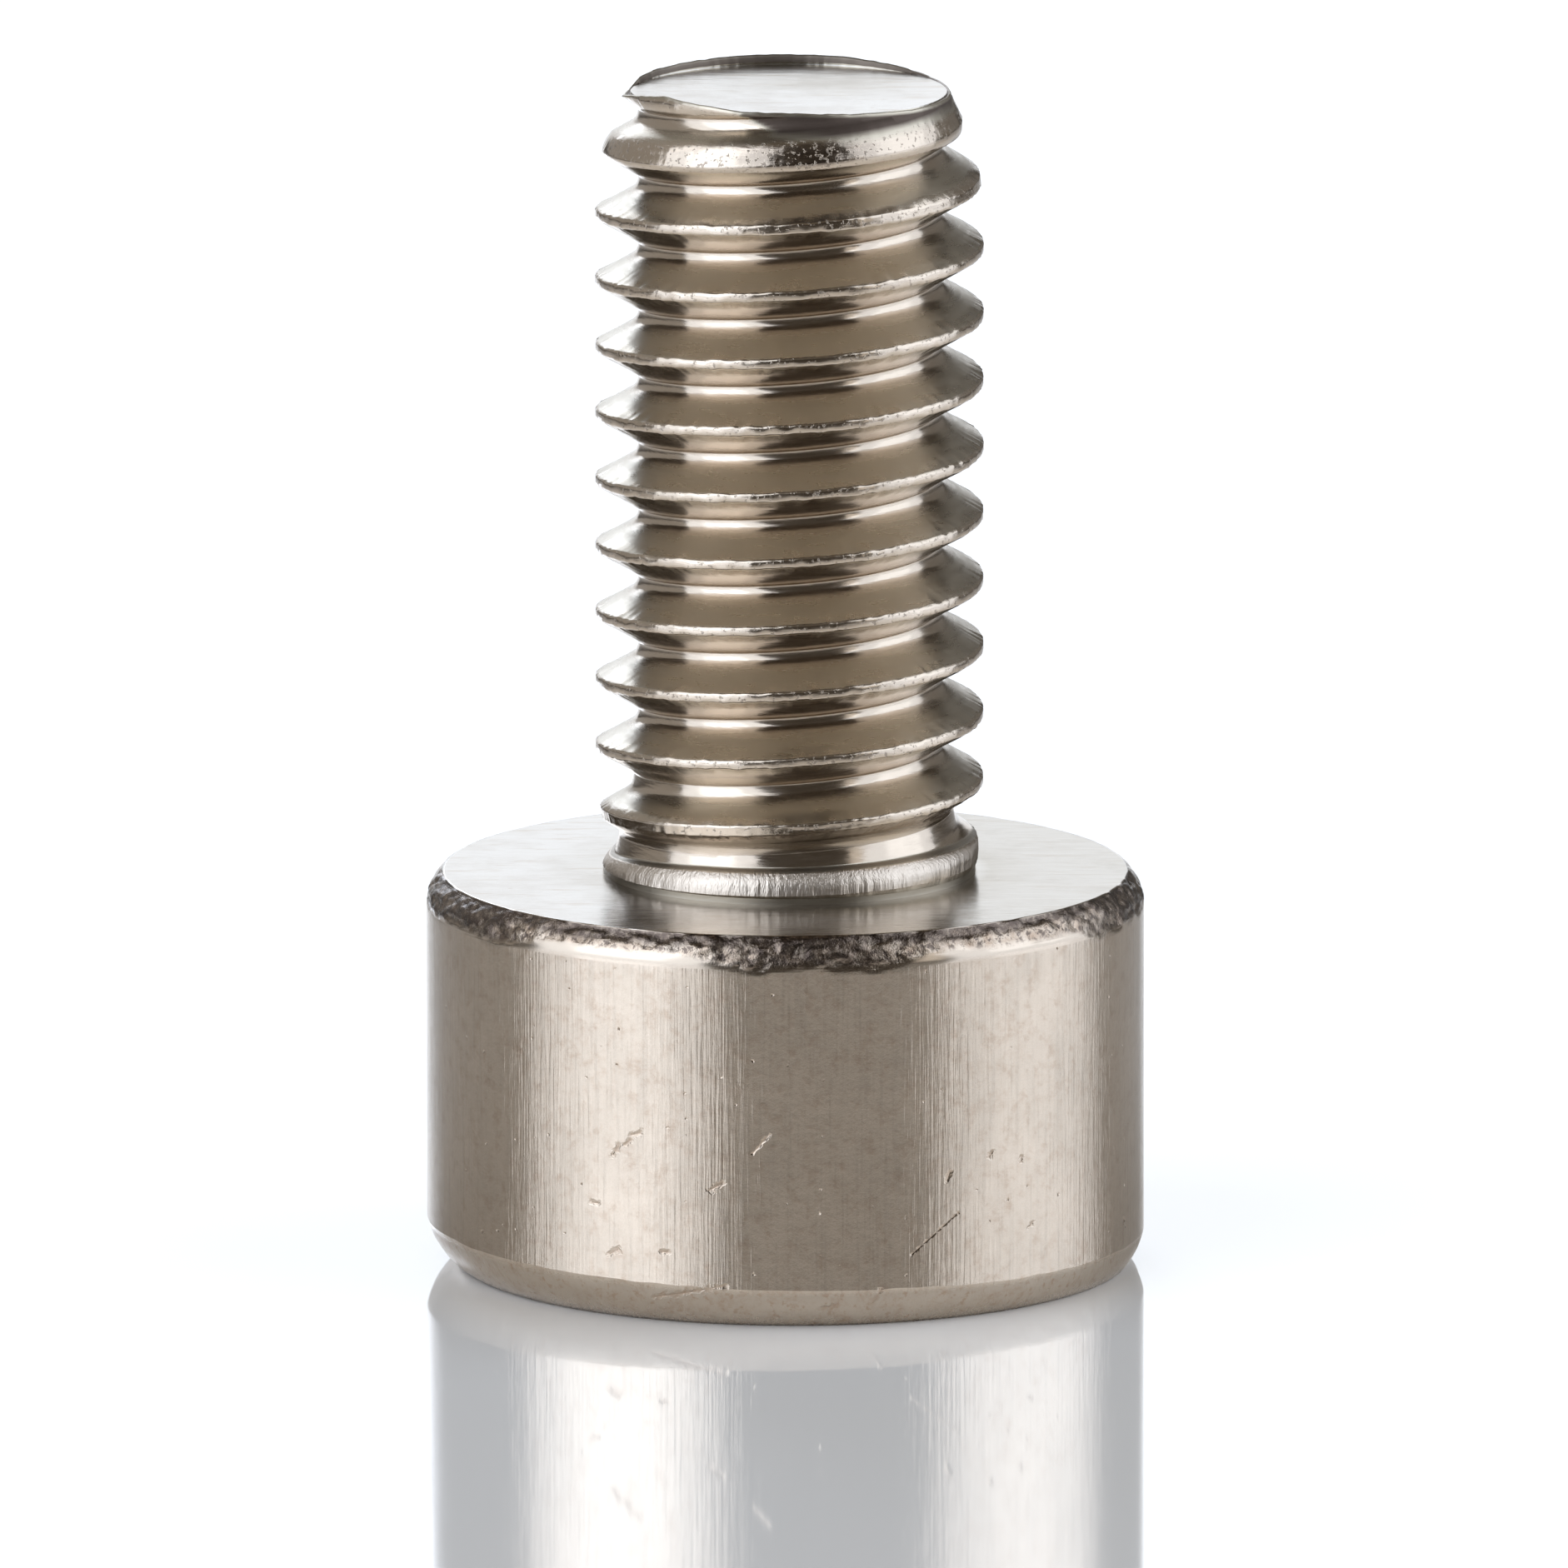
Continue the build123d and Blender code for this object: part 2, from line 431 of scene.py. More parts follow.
SHANK_SHEET = Sheet(0.1, 4.2, 8.3)
TIP_SHEET = Sheet(14.9, 15.0, 1.25)
FACE_SHEET = Sheet(8.7, 4.2, 2.75)
SIDE_SHEET = Sheet(0.1, 0.2, 16.7)
END_SHEET = Sheet(8.7, 9.9, 2.6)
WALL_SHEET = Sheet(0.1, 14.9, 8.8)

# Heights in SIDE_SHEET where the end edge, the drawn side and the torn edge finish
END_EDGE_UP, SIDE_UP, TORN_UP = 0.45, 2.85, 3.35


class Skin:
    """Corners and faces of the mesh, with the place of each face's corners in the map.

    Each corner carries two marks for the materials: the first for dull steel and painted shade,
    which goes past 1 for grime and painted shade, and the second for burrs, which goes past 1 for
    painted shade.
    """

    def __init__(self):
        self.points = []
        self.marks = []
        self.aside = 0.0
        self.faces = []
        self.maps = []
        self.kinds = []
        self.sharp_rings = []

    def add_points(self, radius, turns, height, dull_and_shaded=0.0, burred=0.0):
        """Adds a ring or column of points and gives their numbers."""
        radius, turns, height, dull_and_shaded, burred = np.broadcast_arrays(
            radius, turns, height, dull_and_shaded, burred
        )
        x = radius * np.cos(turns * TURN) + self.aside
        y = radius * np.sin(turns * TURN)
        first = len(self.points)
        self.points.extend(np.stack([x, y, height], axis=1).tolist())
        self.marks.extend(np.stack([dull_and_shaded, burred], axis=1).tolist())
        return list(range(first, len(self.points)))

    def add_face(self, corners, places, kind):
        self.faces.append(corners)
        self.maps.append(places)
        self.kinds.append(kind)

    def join_rings(self, lower, lower_map, upper, upper_map, kind):
        """Faces between two rings, whose counts are the same or one a whole multiple."""
        most = max(len(lower), len(upper))
        for index in range(most):
            corners, places = [], []
            for ring, ring_map, ends in ((lower, lower_map, (index, index + 1)),
                                         (upper, upper_map, (index + 1, index))):
                per_point = most // len(ring)
                for number in dict.fromkeys(end // per_point for end in ends):
                    corners.append(ring[number % len(ring)])
                    places.append(ring_map(number / len(ring)))
            self.add_face(corners, places, kind)

    def join_columns(self, columns, per_turn, place, kind):
        """Faces between neighbouring columns; the last joins the first a pitch higher up."""
        total = len(columns)
        for index, left in enumerate(columns):
            right = columns[(index + 1) % total]
            if index + 1 == total:
                right = [(number - per_turn, point, height) for number, point, height in right]
            turns, next_turns = index / total, (index + 1) / total
            i = j = 0
            while i + 1 < len(left) or j + 1 < len(right):
                a, b = left[i], right[j]
                up_left = left[i + 1] if i + 1 < len(left) else None
                up_right = right[j + 1] if j + 1 < len(right) else None
                corners = [a[1], b[1]]
                places = [place(turns, a[2]), place(next_turns, b[2])]
                both = up_left and up_right and up_left[0] == up_right[0]
                if both or not up_left or (up_right and up_right[0] < up_left[0]):
                    corners.append(up_right[1])
                    places.append(place(next_turns, up_right[2]))
                    j += 1
                if both or len(corners) < 3:
                    corners.append(up_left[1])
                    places.append(place(turns, up_left[2]))
                    i += 1
                self.add_face(corners, places, kind)


class Seam:
    """The open rim of a skin, which grows up or down ring by ring until a fan closes it."""

    def __init__(self, skin, ring, ring_map, turns, upward=False):
        self.skin, self.ring, self.map, self.turns = skin, ring, ring_map, turns
        self.upward = upward

    def grow(self, kind, ring_map, radius, height, dull_and_shaded=0.0, burred=0.0, sharp=False):
        ring = self.skin.add_points(radius, self.turns, height, dull_and_shaded, burred)
        old, new = (self.ring, self.map), (ring, ring_map)
        lower, upper = (old, new) if self.upward else (new, old)
        self.skin.join_rings(*lower, *upper, kind)
        if sharp:
            self.skin.sharp_rings.append(ring)
        self.ring, self.map = ring, ring_map

    def close(self, kind, sheet, height):
        """Faces from the rim to one point on the axis."""
        centre = self.skin.add_points(0.0, 0.0, [height])[0]
        middle = sheet.place(sheet.size, sheet.size)
        total = len(self.ring)
        for index, corner in enumerate(self.ring):
            corners = [corner, self.ring[(index + 1) % total], centre]
            places = [self.map(index / total), self.map((index + 1) / total), middle]
            order = slice(None) if self.upward else slice(None, None, -1)
            self.skin.add_face(corners[order], places[order], kind)


def edge_profile(inset, height, steps):
    """Rows of a rounded edge from the side in to the face, as (inset, distance from the face)."""
    radius = (inset**2 + height**2) / (2 * inset)
    bends = [np.arcsin(height / radius) * index / steps for index in range(steps + 1)]
    return [(radius * (1 - np.cos(bend)), height - radius * np.sin(bend)) for bend in bends]


class ScrewSkin(Skin):
    """The whole surface of the screw, closed."""

    MARGIN = 0.008          # least distance of a row from the shank's first and last ring
    UNROLLED = 1.75         # length up the groove's surface per height
    LIP = 0.03              # height of the rounded lip over the shank's last ring
    LIP_WIDTH = 0.035       # from the rim in to the dish
    DISH_DROP = 0.050       # dish's edge below the screw's full height
    KNOB = 0.04             # burr that stands out of the rim on the left
    KNOB_PLACE, KNOB_WIDTH = 0.506, 0.018
    # Rows over the lip: part of the way in to the dish, and how far below the rim
    LIP_ROWS = ((0.0, 0.012), (0.15, 0.003), (0.35, 0.0), (0.6, 0.010), (0.85, 0.030))
    # Rows of the dish, as parts of its radius
    DISH_ROWS = (1.0, 0.97, 0.86, 0.7, 0.52, 0.34, 0.17)
    # Rows of the corner at the ring's foot, which carry painted shade: inside the fillet's foot,
    # over the face, sharp or not
    CORNER_ROWS = ((0.020, 0.046, True), (0.022, 0.020, False), (0.020, 0.0, True))
    FACE_START = 0.010      # how far inside the fillet's foot the bearing face starts
    # Rows of the bearing face and of the head's side, as parts of the way across them
    FACE_ROWS = (0.12, 0.25, 0.45, 0.7, 0.985)
    SIDE_ROWS = (0.006, 0.02, 0.05, 0.25, 0.5, 0.75, 1.0)
    # Part of the torn edge that stays smooth, and its painted shade, by degrees from the front; the
    # shade is dark where the edge mirrors the dark room between the lamps
    SMOOTH_ANGLES = (-180, -52, -42, -15, -8, 15, 23, 52, 62, 180)
    SMOOTH_PARTS = (0.05, 0.05, 0.34, 0.34, 0.07, 0.07, 0.34, 0.34, 0.05, 0.05)
    SOOT_ANGLES = (-180, -110, -90, -54, -46, -14, -4, 12, 20, 54, 62, 90, 110, 180)
    SOOT = (0.0, 0.0, 1.1, 1.1, 0.1, 0.1, 1.0, 1.0, 0.1, 0.1, 1.05, 1.05, 0.0, 0.0)

    def __init__(self, head, thread):
        super().__init__()
        self.head, self.thread = head, thread
        self.shank = Shank(head, thread)
        self.around = np.arange(thread.columns) / thread.columns
        self.around_head = np.arange(head.columns) / head.columns
        self.bottom = HEAD_HEIGHT + head.collar_height + 0.12
        self.rim_height = TOTAL_HEIGHT + rim_rise(self.around)
        self.fillet_foot = self.shank.crest - head.collar_foot_inset
        self.bearing_rim = HEAD_RADIUS - head.bearing_edge_inset

        self.aside = thread.off_centre
        bottom_ring, top_ring = self.add_shank()
        self.add_point(Seam(self, top_ring, TIP_SHEET.disc(1.19), self.around, upward=True))
        seam = Seam(self, bottom_ring, FACE_SHEET.disc(1.24), self.around)
        self.add_ring(seam)
        self.aside = 0.0
        self.add_bearing_face(seam)
        self.add_torn_edge(seam)
        self.add_side(seam)
        self.add_end_face(seam)

    def add_shank(self):
        """The thread, in rows that follow it; gives the rings that are open at its ends."""
        shank, bottom, rows = self.shank, self.bottom, self.shank.rows()
        columns = []
        for turns, top in zip(self.around, self.rim_height - self.LIP):
            numbers, heights = [-math.inf], [bottom]
            first = int(math.floor((bottom - shank.groove_start) / shank.pitch - turns)) - 1
            last = int(math.ceil((top - shank.groove_start) / shank.pitch - turns)) + 1
            for pitch_number in range(first, last + 1):
                root = shank.groove_start + (pitch_number + turns) * shank.pitch
                for row, place in enumerate(rows):
                    if bottom + self.MARGIN < root + place < top - self.MARGIN:
                        numbers.append(pitch_number * len(rows) + row)
                        heights.append(root + place)
            numbers.append(math.inf)
            heights = np.array(heights + [top])
            points = self.add_points(shank.radius(turns, heights), turns, heights,
                                     *shank.marks(turns, heights))
            columns.append(list(zip(numbers, points, heights)))

        def place_in_map(turns, height):
            return SHANK_SHEET.place(SHANK_SHEET.size * turns, (height - bottom) * self.UNROLLED)

        self.join_columns(columns, len(rows), place_in_map, ROLLED)
        return [column[0][1] for column in columns], [column[-1][1] for column in columns]

    def add_point(self, seam):
        """Rounded rim of the point with its burred lip, and the dish."""
        around = self.around
        knob = self.KNOB * hump(around, self.KNOB_PLACE, self.KNOB_WIDTH)
        rim = self.shank.radius(around, self.rim_height - self.LIP) + knob
        lip_tears = Grain(22, 120, 1.0)(around, 0.5)
        dish_edge = rim - self.LIP_WIDTH - knob
        dish_top = TOTAL_HEIGHT - self.DISH_DROP
        for inward, drop in self.LIP_ROWS:
            radius = rim * (1 - inward) + dish_edge * inward - 0.006
            height = self.rim_height + 0.004 * lip_tears - drop
            height = height + (dish_top - height) * inward**3
            dull_and_shaded = 1.0 + 0.85 * step(0.1, 0.6, inward)
            seam.grow(ROLLED, TIP_SHEET.disc(1.18 - 0.14 * inward), radius, height, dull_and_shaded)
        dish_wave = Grain(23, 7, 0.3)
        dish_depth = self.thread.dish_depth - 0.030
        for part in self.DISH_ROWS:
            radius = dish_edge * part
            height = dish_top - dish_depth * (1 - part**2)
            height = height + 0.003 * dish_wave(around, part) * part
            across, behind = radius * np.cos(around * TURN), radius * np.sin(around * TURN)
            darkening = 0.08 + 0.5 * np.exp(-((across - 0.3) ** 2 / 0.5 + (behind - 0.35) ** 2 / 0.2))
            seam.grow(FACED, TIP_SHEET.disc(1.04 * part), radius, height, darkening,
                      sharp=part == 1.0)
        seam.close(FACED, TIP_SHEET, dish_top - dish_depth)

    def add_ring(self, seam):
        """The toothed ring at the collar, and painted shade in the corner at its foot."""
        shank, bottom, around = self.shank, self.bottom, self.around
        edge = shank.ring_edge(around)
        under = edge - 0.010
        foot = HEAD_HEIGHT + 0.07 + 0.02 * np.cos(around * TURN)
        heights = [bottom + (edge + 0.030 - bottom) * part for part in (0.3, 0.65, 1.0)]
        heights += [edge + 0.018, edge + 0.008, edge, under]
        heights += [under + (foot - edge + 0.010) * part for part in (0.28, 0.6, 0.92, 1.0)]
        for index, height in enumerate(heights):
            seam.grow(ROLLED, FACE_SHEET.disc(1.25 + 0.01 * index), shank.radius(around, height),
                      height, *shank.ring_marks(around, height), sharp=index == len(heights) - 1)
        for inset, rise, sharp in self.CORNER_ROWS:
            radius = self.fillet_foot - inset
            # Painted shade in the corner at the ring's foot
            seam.grow(ROLLED, FACE_SHEET.disc(radius), radius, HEAD_HEIGHT + rise, 1.3, sharp=sharp)
        radius = self.fillet_foot - self.FACE_START
        # Painted shade where the bearing face starts at the ring's foot
        seam.grow(FACED, FACE_SHEET.disc(radius), radius, HEAD_HEIGHT, 0.4)

    def add_bearing_face(self, seam):
        inside = self.fillet_foot - self.FACE_START
        for part in self.FACE_ROWS:
            radius = inside + (self.bearing_rim - inside) * part
            # A little darker all over; painted shade makes it darker towards the right and near the
            # collar's foot
            darkening = 0.14 + 0.45 * step(-0.5, 1.0, radius * np.cos(self.around * TURN))
            darkening = darkening + 0.3 * step(0.5, 0.0, radius - self.fillet_foot)
            seam.grow(FACED, FACE_SHEET.disc(radius), radius, HEAD_HEIGHT, darkening)

    def add_torn_edge(self, seam):
        """The torn edge: rough above, smooth where it runs into the side, with painted shade in
        places.
        """
        head, around = self.head, self.around_head
        rough, lumps, grit = Grain(41, 180, 0.045), Grain(42, 66, 0.10), Grain(43, 270, 0.022)
        border = Grain(44, 110, 1.0)(around, 0.5) + 0.7 * Grain(45, 30, 1.0)(around, 0.5)
        from_front = (around * 360 - 90) % 360 - 180
        smooth_part = np.interp(from_front, self.SMOOTH_ANGLES, self.SMOOTH_PARTS) + 0.09 * border
        # Painted shade, by degrees from the front
        painted_shade = np.interp(from_front, self.SOOT_ANGLES, self.SOOT)
        behind = step(84, 100, np.abs(from_front))
        wobble = 0.005 * lumps(around, 3.0) + 0.004 * grit(around, 5.0)
        seam.turns = around
        seam.grow(FACED, FACE_SHEET.disc(self.bearing_rim), self.bearing_rim + wobble, HEAD_HEIGHT)
        seam.map = SIDE_SHEET.strip(TORN_UP)
        edge = edge_profile(head.bearing_edge_inset, head.bearing_edge_height, 14)
        edge[-1] = (head.bearing_edge_inset - 0.002, 0.004)
        last = len(edge) - 1
        for index in range(last, -1, -1):
            inset, below = edge[index]
            along = index / last
            tear = (rough(around, below) * 0.5 + lumps(around, below) * 0.5
                    + grit(around, below) * 0.3)
            torn = step(smooth_part - 0.10, smooth_part + 0.12, along)
            torn = torn * (1 - 0.7 * behind) * (0.3 if index == last else 1.0)
            depth = head.tear_depth * torn * (tear - 0.45)
            slope = along * math.pi / 3
            radius = HEAD_RADIUS - inset + depth * math.cos(slope)
            height = HEAD_HEIGHT - below + depth * math.sin(slope)
            # Grime along the top of the torn edge, and painted shade where the edge mirrors the
            # dark room
            grime_and_painted_shade = step(0.50, 0.76, along + 0.10 * border) * (1 - 0.8 * behind)
            grime_and_painted_shade = np.maximum(grime_and_painted_shade, painted_shade * torn * (0.8 + 0.35 * rough(around, below)))
            up = SIDE_UP + (TORN_UP - SIDE_UP) * along
            seam.grow(TORN, SIDE_SHEET.strip(up), radius, height, grime_and_painted_shade, torn)

    def add_side(self, seam):
        """The drawn side of the head, then the smooth edge on the floor."""
        head, around = self.head, self.around_head
        waviness, end_wave = Grain(51, 30, 1.4), Grain(52, 110, 0.08)
        lean = np.cos(around * TURN)
        side_top = HEAD_HEIGHT - head.bearing_edge_height
        side_bottom = head.end_edge_height + 0.04 - 0.05 * lean
        side_bottom = side_bottom + 0.007 * Grain(53, 110, 1.0)(around, 0.5)
        side_bottom = side_bottom + 0.006 * Grain(54, 36, 1.0)(around, 0.5)
        for part in self.SIDE_ROWS:
            height = side_top + (side_bottom - side_top) * part
            radius = HEAD_RADIUS + 0.0012 * waviness(around, height)
            up = END_EDGE_UP + (SIDE_UP - END_EDGE_UP) * (1 - part)
            seam.grow(DRAWN, SIDE_SHEET.strip(up), radius, height, sharp=part == 1.0)
        end_inset = head.end_edge_inset - 0.07 * lean
        rows = edge_profile(end_inset, side_bottom, 8)[1:]
        for number, (inset, height) in enumerate(rows, 1):
            inset = 0.65 * inset + 0.35 * end_inset * (1 - height / side_bottom)
            share = number / len(rows)
            dent = 0.005 * end_wave(around, height) * math.sin(math.pi * share)
            # Painted shade on the edge on the floor, for the contact shadow on the floor that it
            # mirrors
            seam.grow(DRAWN, SIDE_SHEET.strip(END_EDGE_UP * (1 - share)),
                      HEAD_RADIUS - inset + dent, height, dull_and_shaded=1 - share / 2)

    def add_end_face(self, seam):
        """The end face with the socket's mouth, flats and coned bottom."""
        head = self.head
        across = head.socket_width / 2
        hexagon = across / np.cos((self.around * TURN) % (TURN / 6) - TURN / 12)
        mouth = across / math.cos(TURN / 12) + head.socket_chamfer
        end_rim = HEAD_RADIUS - head.end_edge_inset
        seam.turns, seam.map = self.around, END_SHEET.disc(end_rim)
        for part in (0.45, 1.0):
            radius = end_rim + (mouth - end_rim) * part
            seam.grow(DRAWN, END_SHEET.disc(radius), radius, 0.0)
        seam.grow(PUNCHED, END_SHEET.disc(1.36), hexagon, mouth - hexagon)
        seam.map = WALL_SHEET.strip(0.0)
        for part in (0.35, 0.7, 1.0):
            height = (mouth - hexagon) * (1 - part) + head.socket_depth * part
            seam.grow(PUNCHED, WALL_SHEET.strip(1.35 * part), hexagon, height)
        seam.map = END_SHEET.disc(1.25)
        for part in (0.02, 0.5):
            height = head.socket_depth + head.socket_cone * part
            seam.grow(PUNCHED, END_SHEET.disc(1.2 * (1 - part)), across * (0.985 - part), height)
        seam.close(PUNCHED, END_SHEET, head.socket_depth + head.socket_cone)


def write_mesh(name, skin, materials):
    mesh = bpy.data.meshes.new(name)
    mesh.from_pydata([[c * MM for c in point] for point in skin.points], [], skin.faces)
    layer = mesh.uv_layers.new(name="OFBake")
    places = np.array([place for face in skin.maps for place in face], dtype=np.float32)
    layer.data.foreach_set("uv", places.ravel())
    for column, mark in enumerate(("dull_and_shaded", "burred")):
        attribute = mesh.attributes.new(mark, "FLOAT", "POINT")
        attribute.data.foreach_set("value", [marks[column] for marks in skin.marks])
    for material in materials:
        mesh.materials.append(material)
    mesh.polygons.foreach_set("material_index", skin.kinds)
    mesh.polygons.foreach_set("use_smooth", [True] * len(skin.faces))
    sharp = set()
    for ring in skin.sharp_rings:
        sharp.update(frozenset(pair) for pair in zip(ring, ring[1:] + ring[:1]))
    attribute = mesh.attributes.new("sharp_edge", "BOOLEAN", "EDGE")
    flags = [frozenset(edge.vertices) in sharp for edge in mesh.edges]
    attribute.data.foreach_set("value", flags)
    mesh.validate()
    mesh.update()
    return mesh


# ---------------- shader node groups


class Tree:
    """A node tree with short ways to add and link nodes, and the place that most of them take."""

    def __init__(self, tree):
        self.tree = tree
        self.place = None

    def add(self, kind, inputs=None, **settings):
        node = self.tree.nodes.new(kind)
        for key, value in settings.items():
            setattr(node, key, value)
        for key, value in (inputs or {}).items():
            socket = node.inputs[key]
            if isinstance(value, bpy.types.NodeSocket):
                self.tree.links.new(value, socket)
            else:
                socket.default_value = (*value, 1.0) if socket.type == "RGBA" else value
        return node

    def math(self, operation, a, b=0.0, c=None, clamp=False):
        inputs = {0: a, 1: b} if c is None else {0: a, 1: b, 2: c}
        node = self.add("ShaderNodeMath", inputs, operation=operation, use_clamp=clamp)
        return node.outputs["Value"]

    def times(self, a, b):
        return self.math("MULTIPLY", a, b)

    def most(self, a, b):
        return self.math("MAXIMUM", a, b)

    def times_plus(self, a, b, c, clamp=False):
        return self.math("MULTIPLY_ADD", a, b, c, clamp)

    def past_one(self, value):
        """How far a value is over 1, up to 1."""
        return self.math("SUBTRACT", value, 1.0, clamp=True)

    def ramp(self, value, low, high, to_low=0.0, to_high=1.0):
        inputs = {"Value": value, "From Min": low, "From Max": high, "To Min": to_low,
                  "To Max": to_high}
        node = self.add("ShaderNodeMapRange", inputs, interpolation_type="SMOOTHSTEP")
        return node.outputs["Result"]

    def noise(self, scale, detail=2.0, roughness=0.5, place=None):
        inputs = {"Vector": place or self.place, "Scale": scale, "Detail": detail,
                  "Roughness": roughness}
        return self.add("ShaderNodeTexNoise", inputs).outputs["Fac"]

    def vector(self, operation, *values):
        """One vector operation, which gives a vector, or a value if it is a dot product."""
        node = self.add("ShaderNodeVectorMath", dict(enumerate(values)), operation=operation)
        return node.outputs["Value" if operation == "DOT_PRODUCT" else "Vector"]

    def parts(self, vector):
        return self.add("ShaderNodeSeparateXYZ", {"Vector": vector}).outputs

    def mix(self, factor, a, b):
        return self.add("ShaderNodeMix", {0: factor, 6: a, 7: b}, data_type="RGBA").outputs[2]

    def mark(self, name):
        return self.add("ShaderNodeAttribute", attribute_name=name).outputs["Fac"]

    def bump(self, height, strength, distance, invert=False, **more):
        inputs = {"Height": height, "Strength": strength, "Distance": distance, **more}
        return self.add("ShaderNodeBump", inputs, invert=invert).outputs[0]

    def use(self, group, **inputs):
        inputs = {"Vector": self.place, **inputs}
        return self.add("ShaderNodeGroup", inputs, node_tree=group).outputs[0]


def new_group(maker, name, output, **inputs):
    """A shader node group that makes one value from a Vector and these inputs."""
    group = bpy.data.node_groups.new(name, "ShaderNodeTree")
    for label, default in {"Vector": ORIGIN, **inputs}.items():
        kind = "NodeSocketFloat" if isinstance(default, float) else "NodeSocketVector"
        socket = group.interface.new_socket(label, in_out="INPUT", socket_type=kind)
        socket.default_value = default
    group.interface.new_socket(output, in_out="OUTPUT", socket_type="NodeSocketFloat")
    tree = Tree(group)
    given = tree.add("NodeGroupInput").outputs
    tree.place = given["Vector"]
    tree.add("NodeGroupOutput", {output: maker(tree, given)})
    return group


def draw_lines(tree, given):
    """Fine parallel lines that a die leaves: noise stretched along one direction."""
    stretched = tree.vector("MULTIPLY", tree.place, given["Stretch"])
    return tree.noise(given["Scale"], 3.0, 0.6, stretched)


def pits(tree, given):
    """Small scattered pits: cells whose centres pass a threshold."""
    wobble = tree.add("ShaderNodeTexNoise", {"Vector": tree.place, "Scale": 22.0, "Detail": 1.0})
    offset = tree.vector("SUBTRACT", wobble.outputs["Color"], (0.5, 0.5, 0.5))
    shaken = tree.vector("MULTIPLY_ADD", offset, (0.05, 0.05, 0.05), tree.place)
    cells = tree.add("ShaderNodeTexVoronoi", {"Vector": shaken, "Scale": given["Scale"]}).outputs
    share = tree.math("DIVIDE", cells["Distance"], given["Size"])
    near = tree.math("SUBTRACT", 1.0, share, clamp=True)
    shade = tree.add("ShaderNodeSeparateColor", {"Color": cells["Color"]}).outputs["Red"]
    return tree.times(near, tree.math("LESS_THAN", shade, given["Share"]))


def nick(tree, given):
    """One nick or scratch: everything within a ragged width of a short straight line."""
    along = given["Along"]
    away = tree.vector("SUBTRACT", tree.place, given["Place"])
    share = tree.math("DIVIDE", tree.vector("DOT_PRODUCT", away, along),
                      tree.vector("DOT_PRODUCT", along, along))
    share = tree.most(tree.math("MINIMUM", share, 1.0), -1.0)
    off_line = tree.vector("SUBTRACT", away, tree.vector("MULTIPLY", along, share))
    gap = tree.math("SQRT", tree.vector("DOT_PRODUCT", off_line, off_line))
    uneven = tree.times_plus(tree.noise(24.0), 3.6, -1.0)
    width = tree.most(tree.times(given["Width"], uneven), 0.001)
    return tree.math("SUBTRACT", 1.0, tree.math("DIVIDE", gap, width), clamp=True)


def stain(tree, given):
    """Uneven patches where the steel is a little darker and duller."""
    cloud = tree.noise(given["Scale"], 5.0, 0.65)
    threshold = tree.times_plus(tree.math("SUBTRACT", 1.0, given["Cover"]), 0.5, 0.25)
    return tree.times_plus(tree.math("SUBTRACT", cloud, threshold), 3.0, 0.5, clamp=True)


def new_groups():
    """The effects that several steels share, or that one steel uses many times."""
    return SimpleNamespace(
        lines=new_group(draw_lines, "Draw Lines", "Lines", Stretch=(1.0, 1.0, 0.03), Scale=30.0),
        pits=new_group(pits, "Pits", "Pits", Scale=8.0, Share=0.2, Size=0.25),
        nick=new_group(nick, "Nick", "Nick", Place=ORIGIN, Along=(0.0, 0.0, 0.05), Width=0.02),
        stain=new_group(stain, "Stain", "Stain", Scale=2.0, Cover=0.5),
    )


# ---------------- steel
#
# Each maker gives the steel's colour, roughness and normal. Distances of bumps are in metres.

# Nicks in the front of the head's side, in millimetres: place across and up, half the length
# across and up, and width
HEAD_NICKS = (
    (-1.10, 1.43, 0.03, 0.01, 0.035), (-1.16, 1.36, 0.02, 0.02, 0.03),
    (-1.25, 1.29, 0.02, 0.03, 0.03), (-1.40, 0.88, 0.02, 0.0, 0.03),
    (-1.26, 0.53, 0.03, 0.02, 0.035), (-0.89, 0.56, 0.02, 0.0, 0.03),
    (-0.51, 1.07, 0.05, 0.03, 0.035), (-0.18, 1.40, 0.06, 0.07, 0.018),
    (-0.70, 0.27, 0.26, 0.06, 0.035), (1.10, 0.68, 0.17, 0.14, 0.015),
    (1.51, 1.23, 0.01, 0.02, 0.025), (1.74, 1.16, 0.0, 0.02, 0.025),
    (1.20, 1.10, 0.01, 0.03, 0.025), (1.81, 0.65, 0.01, 0.01, 0.025),
    (0.33, 0.17, 0.05, 0.01, 0.04), (0.68, 0.25, 0.03, 0.05, 0.025),
)


def head_nicks(tree, groups):
    x, y, z = tree.parts(tree.place)
    flat = tree.add("ShaderNodeCombineXYZ", {"X": x, "Z": z}).outputs[0]
    nicks = 0.0
    for across, up, along, rise, width in HEAD_NICKS:
        nicks = tree.most(tree.use(groups.nick, Vector=flat, Place=(across, 0.0, up),
                                   Along=(along, 0.0, rise), Width=width), nicks)
    return tree.times(nicks, tree.math("LESS_THAN", y, 0.0))


